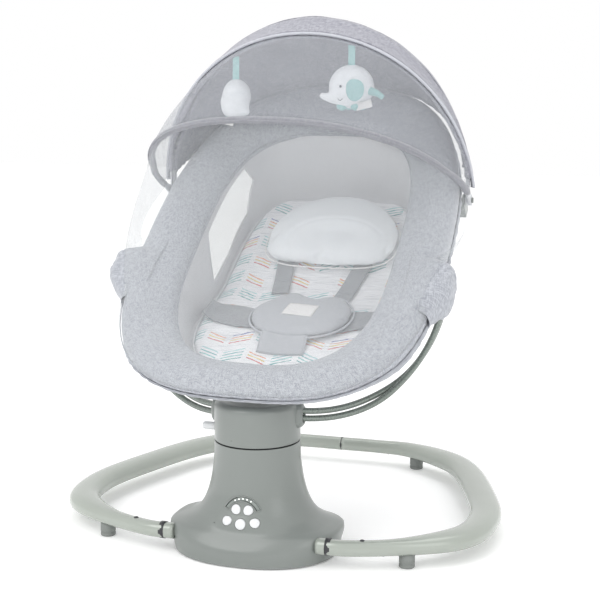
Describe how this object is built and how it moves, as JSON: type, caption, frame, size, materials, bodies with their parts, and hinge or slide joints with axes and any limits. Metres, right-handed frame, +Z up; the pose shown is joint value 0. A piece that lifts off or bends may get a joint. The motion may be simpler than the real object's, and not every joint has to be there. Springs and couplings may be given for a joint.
{
  "type": "baby swing",
  "caption": "Powered baby swing: pedestal drive on a ring base, turning head with bent rod arms, reclining padded fabric seat, folding canopy with nets and hanging toys.",
  "frame": {"origin": "on the floor, at the centre of the bounding box footprint, which is the middle of the ring base across", "axes": "+Z up, -Y towards the foot end of the seat and the control panel, +X to the right seen from the front"},
  "size_m": [0.6242, 0.5539, 0.7157],
  "materials": {
    "pedestal_plastic": "satin grey-green moulded plastic",
    "ring_paint": "grey-green gloss powder coat",
    "rod_paint": "dark grey-green satin paint",
    "dark_plastic": "matte",
    "display_lens": "smoked gloss",
    "light_plastic": "light grey satin",
    "bow_plastic": "satin",
    "foot_rubber": "matte",
    "steel": "bare steel",
    "circuit": "solder mask",
    "heather_fabric": "heathered lilac-grey weave",
    "lining_fabric": "warm grey weave",
    "side_mesh": "open white mesh",
    "visor_mesh": "fine grey mesh",
    "insect_mesh": "sheer net",
    "printed_cotton": "off-white cotton with short coloured dashes",
    "plush_white": "short white plush",
    "harness_fabric": "padded grey weave with piping",
    "webbing": "grey tape"
  },
  "bodies": {
    "base": {"pedestal_shell": "pedestal_plastic", "base_plate": "pedestal_plastic", "pedestal_pad_right": "foot_rubber", "pedestal_pad_left": "foot_rubber", "base_ring_right": "ring_paint", "base_ring_left": "ring_paint", "ring_coupler": "steel", "foot_front_right": "foot_rubber", "foot_front_left": "foot_rubber", "foot_back_right": "foot_rubber", "foot_back_left": "foot_rubber", "display_window": "display_lens", "control_board": "circuit", "speaker": "dark_plastic", "drive_motor": "steel", "gear_deck": "pedestal_plastic", "turret_bearing": "pedestal_plastic", "dc_jack": "dark_plastic"},
    "pinion": {"motor_pinion": "steel"},
    "head": {"turret_shaft": "steel", "sector_gear": "light_plastic", "head_shell": "pedestal_plastic", "arm_block": "steel", "arm_upper_right": "rod_paint", "arm_upper_left": "rod_paint", "arm_lower_right": "rod_paint", "arm_lower_left": "rod_paint", "arm_bracket_right": "rod_paint", "arm_bracket_left": "rod_paint"},
    "knob": {"release_knob": "light_plastic"},
    "seat": {"seat_hub_right": "dark_plastic", "seat_hub_left": "dark_plastic", "seat_frame": "steel", "rim_bumper": "heather_fabric", "seat_tub": "lining_fabric", "mesh_window_right": "side_mesh", "mesh_window_left": "side_mesh", "seat_carrier": "dark_plastic", "seat_pad": "printed_cotton", "head_pillow": "plush_white", "harness_pad": "harness_fabric", "shoulder_strap_right": "webbing", "shoulder_strap_left": "webbing", "waist_strap_right": "webbing", "waist_strap_left": "webbing", "canopy_hub_right": "pedestal_plastic", "canopy_hub_left": "pedestal_plastic", "insect_net": "insect_mesh"},
    "canopy_mid": {"bow_rear": "bow_plastic", "bow_mid": "bow_plastic", "canopy_fabric": "heather_fabric"},
    "canopy_front": {"bow_front": "bow_plastic", "visor_net": "visor_mesh"},
    "toy_right": {"toy_right": "plush_white"},
    "toy_left": {"toy_left": "plush_white"},
    "button_top_left": {"button_top_left": "light_plastic"},
    "button_top_right": {"button_top_right": "light_plastic"},
    "button_right": {"button_right": "light_plastic"},
    "button_centre": {"button_centre": "light_plastic"},
    "button_left": {"button_left": "light_plastic"}
  },
  "joints": [
    {"name": "swing", "type": "hinge", "parent": "base", "child": "head", "pos_m": [0, -0.183, 0.15], "axis": [0, 0, 1], "range_deg": [-15, 15]},
    {"name": "pinion_spin", "type": "hinge", "parent": "base", "child": "pinion", "pos_m": [0, -0.138, 0.062], "axis": [0, 0, 1], "range_deg": [-62, 62]},
    {"name": "knob_pull", "type": "slide", "parent": "head", "child": "knob", "axis": [-1, 0, 0], "range_m": [0, 0.006], "stiffness_N_per_m": 600},
    {"name": "recline", "type": "hinge", "parent": "head", "child": "seat", "pos_m": [0, -0.098, 0.358], "axis": [1, 0, 0], "range_deg": [-15, 0]},
    {"name": "canopy_fold", "type": "hinge", "parent": "seat", "child": "canopy_mid", "pos_m": [0, 0.0949, 0.4516], "axis": [1, 0, 0], "range_deg": [-40, 0], "deforming": ["canopy_fabric", "visor_net", "insect_net"]},
    {"name": "visor_fold", "type": "hinge", "parent": "canopy_mid", "child": "canopy_front", "pos_m": [0, 0.0949, 0.4516], "axis": [1, 0, 0], "range_deg": [-37, 1], "deforming": ["visor_net"]},
    {"name": "toy_right_swing", "type": "hinge", "parent": "canopy_mid", "child": "toy_right", "pos_m": [0.068, 0.0387, 0.6743], "axis": [1, 0, 0], "range_deg": [-35, 35]},
    {"name": "toy_left_swing", "type": "hinge", "parent": "canopy_mid", "child": "toy_left", "pos_m": [-0.108, 0.0426, 0.6585], "axis": [1, 0, 0], "range_deg": [-35, 35]},
    {"name": "press_top_left", "type": "slide", "parent": "base", "child": "button_top_left", "axis": [0, 0.9336, -0.3584], "range_m": [0, 0.0015], "stiffness_N_per_m": 400},
    {"name": "press_top_right", "type": "slide", "parent": "base", "child": "button_top_right", "axis": [0, 0.9336, -0.3584], "range_m": [0, 0.0015], "stiffness_N_per_m": 400},
    {"name": "press_right", "type": "slide", "parent": "base", "child": "button_right", "axis": [0, 0.9336, -0.3584], "range_m": [0, 0.0015], "stiffness_N_per_m": 400},
    {"name": "press_centre", "type": "slide", "parent": "base", "child": "button_centre", "axis": [0, 0.9336, -0.3584], "range_m": [0, 0.0015], "stiffness_N_per_m": 400},
    {"name": "press_left", "type": "slide", "parent": "base", "child": "button_left", "axis": [0, 0.9336, -0.3584], "range_m": [0, 0.0015], "stiffness_N_per_m": 400}
  ],
  "couplings": [
    {"joint": "pinion_spin", "follows": "swing", "ratio": -4},
    {"joint": "visor_fold", "follows": "canopy_fold", "ratio": 0.9}
  ]
}
